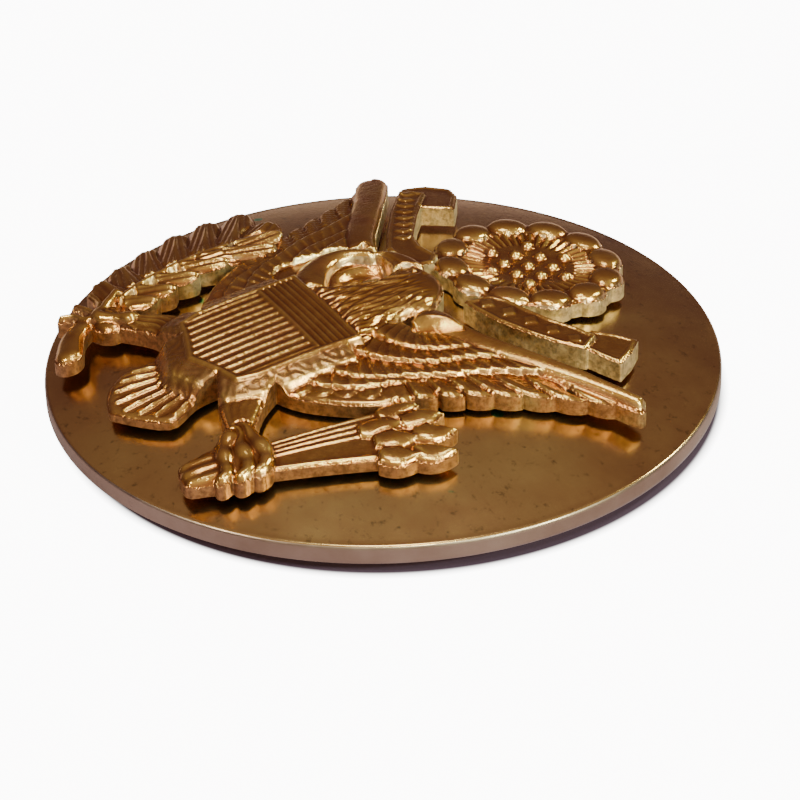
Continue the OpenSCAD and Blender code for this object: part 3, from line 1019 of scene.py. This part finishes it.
# ---------------- materials
class Nodes:
    """Short names for building the node tree of a material or a world."""

    def __init__(self, owner, place):
        owner.use_nodes = True
        self.owner = owner
        self.tree = owner.node_tree
        self.place = self.add("TexCoord", {}, place)

    def feed(self, socket, value):
        """Links an output to a socket, or sets the socket's own value."""
        if isinstance(value, bpy.types.NodeSocket):
            self.tree.links.new(value, socket)
        elif socket.type == "RGBA":
            socket.default_value = (*value, 1)
        else:
            socket.default_value = value

    def add(self, kind, inputs, output, **settings):
        """Adds a node with these settings and inputs, and gives the output that is used."""
        node = self.tree.nodes.new("ShaderNode" + kind)
        for name, value in settings.items():
            setattr(node, name, value)
        for name, value in inputs.items():
            self.feed(node.inputs[name], value)
        return node.outputs[output]

    def noise(self, scale, detail=4, rough=0.55, stretch=None):
        place = self.place
        if stretch:
            place = self.add("Mapping", {"Scale": stretch, "Vector": self.place}, "Vector")
        inputs = {"Scale": scale, "Detail": detail, "Roughness": rough, "Vector": place}
        return self.add("TexNoise", inputs, "Fac")

    def along(self, way):
        return self.add("VectorMath", {0: self.place, 1: way}, "Value", operation="DOT_PRODUCT")

    def attribute(self, name):
        return self.add("Attribute", {}, "Fac", attribute_name=name)

    def ramp(self, source, *stops):
        """Colours or plain values at places from 0 to 1."""
        output = self.add("ValToRGB", {"Fac": source}, "Color")
        elements = output.node.color_ramp.elements
        while len(elements) < len(stops):
            elements.new(0.5)
        for element, (at, value) in zip(elements, stops):
            element.position = at
            colour = value if isinstance(value, tuple) else (value, value, value)
            element.color = (*colour, 1)
        return output

    def uneven(self, scale, low, high, detail=4):
        """A value that drifts between low and high."""
        return self.ramp(self.noise(scale, detail), (0.3, low), (0.7, high))

    def mix(self, factor, a, b, kind="MIX"):
        inputs = {"Factor": factor, "A": a, "B": b}
        return self.add("Mix", inputs, "Result", data_type="RGBA", blend_type=kind)

    def math(self, kind, a, b):
        return self.add("Math", {0: a, 1: b}, "Value", operation=kind)

    def bump(self, height, distance, strength, normal=None):
        inputs = {"Strength": strength, "Distance": distance, "Height": height}
        if normal is not None:
            inputs["Normal"] = normal
        return self.add("Bump", inputs, "Normal")

    def choose(self, share, a, b):
        """Shader a where share is 0 and shader b where it is 1."""
        return self.add("MixShader", {"Fac": share, 1: a, 2: b}, "Shader")

    def metal(self, colour, roughness, normal):
        """Makes the material a metal with this colour, roughness and normal."""
        sockets = self.tree.nodes["Principled BSDF"].inputs
        self.feed(sockets["Base Color"], colour)
        self.feed(sockets["Roughness"], roughness)
        self.feed(sockets["Normal"], normal)
        self.feed(sockets["Metallic"], 1.0)
        return self.owner


def material_nodes(name):
    return Nodes(bpy.data.materials.new(name), "Object")


def dull_metal(n):
    """Pale grainy colour of steep and dull metal, partly its own dull tone and partly painted front light:
    greener towards the emblem's head, pinker below.
    """
    drift = n.math("ADD", n.along((-55, 80, 0)), n.math("MULTIPLY", n.noise(260), 1.9))
    tint = n.ramp(drift, (0.6, (0.44, 0.235, 0.13)), (0.82, (0.50, 0.36, 0.20)), (1.0, (0.76, 0.63, 0.47)))
    speck = n.ramp(n.noise(2600, 4, 0.7), (0.38, 0.5), (0.6, 1.0))
    return n.mix(1.0, tint, speck, "MULTIPLY")


def struck_brass():
    """Brown patina over brass with painted cavity shade in the hollows, worn to gold with a painted highlight
    on what stands high, dull on steep sides, finely grained.
    """
    n = material_nodes("struck_brass")
    worn = n.math("MULTIPLY", n.math("SUBTRACT", n.noise(900, 5), 0.5), 0.5)
    # dark patina with painted cavity shade in hollows, worn gold with a painted highlight on high points
    shade = n.ramp(n.math("ADD", n.attribute("high"), worn), (0.28, 0.0), (0.85, 1.0))
    gold = n.ramp(n.noise(190, 3), (0.36, (0.70, 0.40, 0.12)), (0.55, (0.79, 0.53, 0.17)),
                  (0.72, (0.76, 0.39, 0.16)))
    dark = n.mix(n.noise(260), (0.32, 0.12, 0.045), (0.50, 0.22, 0.08))
    # steep sides take the pale dull colour, partly painted front light
    side = n.math("MULTIPLY", n.attribute("steep"), n.ramp(n.noise(700, 3), (0.35, 0.35), (0.6, 1.0)))
    colour = n.mix(side, n.mix(shade, dark, gold), dull_metal(n))
    rough = n.mix(side, n.uneven(500, 0.13, 0.24), (0.4, 0.4, 0.4))
    grain = n.bump(n.noise(2400, 5, 0.65), 0.00004, 0.75)
    return n.metal(colour, rough, n.bump(n.noise(520, 3), 0.00004, 0.5, grain))


def cut_wall():
    """Pierced side of the emblem: dull and grainy."""
    n = material_nodes("cut_wall")
    drag = n.bump(n.noise(1700, 4, 0.6, (1, 1, 0.15)), 0.00004, 0.5)
    # pale dull colour, partly painted front light
    return n.metal(dull_metal(n), n.uneven(1200, 0.42, 0.6, 3), drag)


def disc_face():
    """Brown patina on the domed face, with fine hairlines, a cloudy change of tone and a few green spots."""
    n = material_nodes("disc_face")
    cloud = n.ramp(n.noise(95, 5, 0.6), (0.32, (0.46, 0.26, 0.13)), (0.5, (0.56, 0.35, 0.16)),
                   (0.68, (0.62, 0.43, 0.19)))
    speck = n.ramp(n.noise(1500, 5, 0.7), (0.30, 0.55), (0.42, 1.0))
    spots = n.ramp(n.noise(380, 1), (0.735, 0.0), (0.755, 1.0))
    colour = n.mix(spots, n.mix(1.0, cloud, speck, "MULTIPLY"), (0.10, 0.42, 0.22))
    hair = n.bump(n.noise(900, 3, 0.5, (1, 14, 1)), 0.000012, 0.35)
    return n.metal(colour, n.uneven(230, 0.16, 0.27), n.bump(n.noise(1900), 0.000012, 0.4, hair))


def rim_wall():
    """Rubbed edge of the disc: satin, darker and greyer than its face."""
    n = material_nodes("rim_wall")
    colour = n.ramp(n.noise(120, 5, 0.6), (0.35, (0.25, 0.18, 0.17)), (0.65, (0.36, 0.285, 0.285)))
    return n.metal(colour, n.uneven(420, 0.26, 0.4), n.bump(n.noise(1300, 4, 0.6, (1, 1, 3)), 0.00002, 0.5))


def fitting_brass():
    """Dull turned brass with faint tool rings."""
    n = material_nodes("fitting_brass")
    colour = n.mix(n.noise(210), (0.52, 0.38, 0.18), (0.72, 0.56, 0.29))
    return n.metal(colour, n.uneven(600, 0.25, 0.42), n.bump(n.noise(1600, 3, 0.5, (1, 1, 6)), 0.00002, 0.4))


def solder_grey():
    """Dull frosted solder."""
    n = material_nodes("solder_grey")
    colour = n.mix(n.noise(420), (0.36, 0.36, 0.35), (0.6, 0.6, 0.58))
    return n.metal(colour, n.uneven(700, 0.32, 0.55), n.bump(n.noise(900), 0.00006, 0.5))


def pale_floor():
    """Plain pale board with a painted shadow, dark where the badge shades it, and a painted glow under the
    badge that lights its underside; clear when it is seen from below.
    """
    n = material_nodes("pale_floor")
    shader = n.tree.nodes["Principled BSDF"]
    across = n.math("POWER", n.math("SUBTRACT", n.along((1, 0, 0)), SHADE_CENTRE[0]), 2.0)
    along = n.math("POWER", n.math("SUBTRACT", n.along((0, 1, 0)), SHADE_CENTRE[1]), 2.0)
    out = n.math("POWER", n.math("ADD", across, along), 0.5)
    # painted shadow: a dark ring on the floor round and under the badge, a little off its middle
    shade = n.ramp(n.math("MULTIPLY", out, 40.0), (0.866, 0.0), (0.894, 1.0))
    # painted glow: for rays that are not the camera's, the floor under the badge shines up onto its underside
    painted_glow = n.mix(shade, (0.9, 0.9, 0.9), (0.15, 0.15, 0.15))
    to_camera = n.add("LightPath", {}, "Is Camera Ray")
    # the dark purple base inside the ring is the painted shadow's colour
    n.feed(shader.inputs["Base Color"], n.mix(shade, (0.05, 0.03, 0.09), (0.34, 0.23, 0.27)))
    n.feed(shader.inputs["Roughness"], 0.7)
    n.feed(shader.inputs["Emission Color"], (1, 1, 1))
    n.feed(shader.inputs["Emission Strength"], n.mix(to_camera, painted_glow, n.math("MULTIPLY", shade, 11.0)))
    from_below = n.add("NewGeometry", {}, "Backfacing")
    clear = n.add("BsdfTransparent", {}, "BSDF")
    seen = n.choose(from_below, shader.outputs["BSDF"], clear)
    n.feed(n.tree.nodes["Material Output"].inputs["Surface"], seen)
    return n.owner


# ---------------- build
brass = struck_brass()
wall = cut_wall()
disc_brown = disc_face()
disc_rim = rim_wall()
fitting = fitting_brass()
grey = solder_grey()

object_from(emblem_mesh(emblem_relief()), (brass, wall), "badge", "emblem_brass", "eagle_emblem")
disc = object_from(disc_mesh(), (disc_brown, disc_rim), "badge", "disc_brass", "backing_disc")
for centre in PIN_CENTRES.values():
    drill(disc, centre, PIN_ROOT_R + 0.1)

low, high = cad_corners("screw_post")
POST_R = high.x
object_from(post_mesh(POST_R, low.z, high.z), (fitting,), "badge", "fitting_brass", "screw_post")
low, high = cad_corners("thumb_nut")
object_from(nut_mesh(low.z, high.z, high.x, POST_R + BORE_GAP), (fitting,), "nut", "fitting_brass",
            "thumb_nut")
low, high = cad_corners("pressure_washer")
washer_profile = round_corners(
    [(WASHER_BORE_R, low.z), (high.x, low.z), (high.x, high.z), (WASHER_BORE_R, high.z)], 0.09)
object_from(turned("flat_washer", washer_profile), (fitting,), "washer", "fitting_brass", "pressure_washer")
object_from(solder_mesh("post_solder_collar", (0, 0), POST_R, *POST_SOLDER), (grey,), "badge", "solder",
            "post_solder")
for side, centre in PIN_CENTRES.items():
    low, high = cad_corners("locating_pin_" + side)
    pin_profile = [
        (0.0, low.z), (0.25, low.z), (0.45, low.z + 0.06), (0.57, low.z + 0.2), (PIN_R, low.z + 0.4),
        (PIN_R, PIN_SHOULDER_Z), (PIN_ROOT_R - 0.05, PIN_SHOULDER_Z + 0.01),
        (PIN_ROOT_R, PIN_SHOULDER_Z + 0.06), (PIN_ROOT_R, high.z), (0.0, high.z),
    ]
    object_from(turned("pin_" + side, pin_profile, centre, 48), (fitting,), "badge", "fitting_brass",
                "locating_pin_" + side)
    object_from(solder_mesh("pin_solder_collar_" + side, centre, PIN_ROOT_R, *PIN_SOLDER), (grey,), "badge",
                "solder", "pin_solder_" + side)

# ---------------- floor, light and camera
FLOOR_REACH = 3.0
floor_mesh = bpy.data.meshes.new("floor")
floor_corners = [(FLOOR_REACH * x, FLOOR_REACH * y, 0) for x, y in ((-1, -1), (1, -1), (1, 1), (-1, 1))]
floor_mesh.from_pydata(floor_corners, [], [(0, 1, 2, 3)])
floor_mesh.materials.append(pale_floor())
floor = bpy.data.objects.new("floor", floor_mesh)
bpy.context.scene.collection.objects.link(floor)

CAMERA_AZIMUTH = math.radians(61.6)
CAMERA_ELEVATION = math.radians(31.96)
CAMERA_ROLL = math.radians(-1.63)
CAMERA_DISTANCE = 0.220
CAMERA_TARGET = Vector((0.00528, -0.00166, 0.002))
# Azimuth from the camera's, positive to its right, and elevation in degrees; distance and size in metres;
# power in watts; colour
LIGHTS = {
    "key": (48, 32, 0.5, (0.09, 0.06), 3.1, (0.90, 1.0, 0.54)),
    "front": (14, 56, 0.6, (0.07, 0.05), 1.25, (0.90, 1.0, 0.54)),
    "side": (112, 36, 0.5, (0.06, 0.05), 1.25, (0.90, 1.0, 0.54)),
    "left": (-58, 40, 0.5, (0.06, 0.05), 0.9, (1.0, 0.92, 0.55)),
    "top": (0, 88, 0.6, (0.14, 0.14), 1.0, (0.98, 1.0, 0.80)),
}


def direction(azimuth, elevation):
    """Unit vector from the badge towards something at that azimuth and elevation."""
    level = math.cos(elevation)
    return Vector((math.sin(azimuth) * level, -math.cos(azimuth) * level, math.sin(elevation)))


def soft_light(name, azimuth, elevation, distance, size, power, colour):
    """Rectangular soft box that faces the badge."""
    data = bpy.data.lights.new(name, "AREA")
    data.shape = "RECTANGLE"
    data.size, data.size_y = size
    data.energy = power
    data.color = colour
    light = bpy.data.objects.new(name, data)
    bpy.context.scene.collection.objects.link(light)
    way = direction(CAMERA_AZIMUTH + math.radians(azimuth), math.radians(elevation))
    light.location = way * distance
    light.rotation_mode = "QUATERNION"
    light.rotation_quaternion = way.to_track_quat("Z", "Y")


def studio_world():
    """Dim warm room, light in front of the badge and darkest low behind it, with a pale backdrop."""
    n = Nodes(bpy.data.worlds.new("studio"), "Generated")
    sky = n.ramp(n.along((0, 0, 1)), (0.0, (0.14, 0.09, 0.085)), (0.42, (0.19, 0.115, 0.095)),
                 (0.75, (0.30, 0.21, 0.15)), (1.0, (0.46, 0.37, 0.28)))
    ahead = n.along(direction(CAMERA_AZIMUTH + math.radians(15), 0.2))
    front = n.ramp(ahead, (0.25, (0, 0, 0)), (0.8, (0.56, 0.47, 0.28)))
    room = n.tree.nodes["Background"]
    n.feed(room.inputs["Color"], n.add("VectorMath", {0: sky, 1: front}, "Vector", operation="ADD"))
    backdrop = n.add("Background", {"Color": (1, 1, 1), "Strength": 5.0}, "Background")
    seen = n.choose(n.add("LightPath", {}, "Is Camera Ray"), room.outputs["Background"], backdrop)
    n.feed(n.tree.nodes["World Output"].inputs["Surface"], seen)
    return n.owner


for name, values in LIGHTS.items():
    soft_light(name, *values)
bpy.context.scene.world = studio_world()

camera_data = bpy.data.cameras.new("camera")
camera_data.lens = 153.45
camera_data.sensor_width = 36
camera_data.clip_start = 0.01
camera = bpy.data.objects.new("camera", camera_data)
bpy.context.scene.collection.objects.link(camera)
back = direction(CAMERA_AZIMUTH, CAMERA_ELEVATION)
right = Vector((0, 0, 1)).cross(back).normalized()
up = back.cross(right)
side_axis = right * math.cos(CAMERA_ROLL) + up * math.sin(CAMERA_ROLL)
up_axis = up * math.cos(CAMERA_ROLL) - right * math.sin(CAMERA_ROLL)
turn = Matrix((side_axis, up_axis, back)).transposed()
camera.matrix_world = Matrix.Translation(CAMERA_TARGET + back * CAMERA_DISTANCE) @ turn.to_4x4()
bpy.context.scene.camera = camera

bpy.context.view_layer.update()
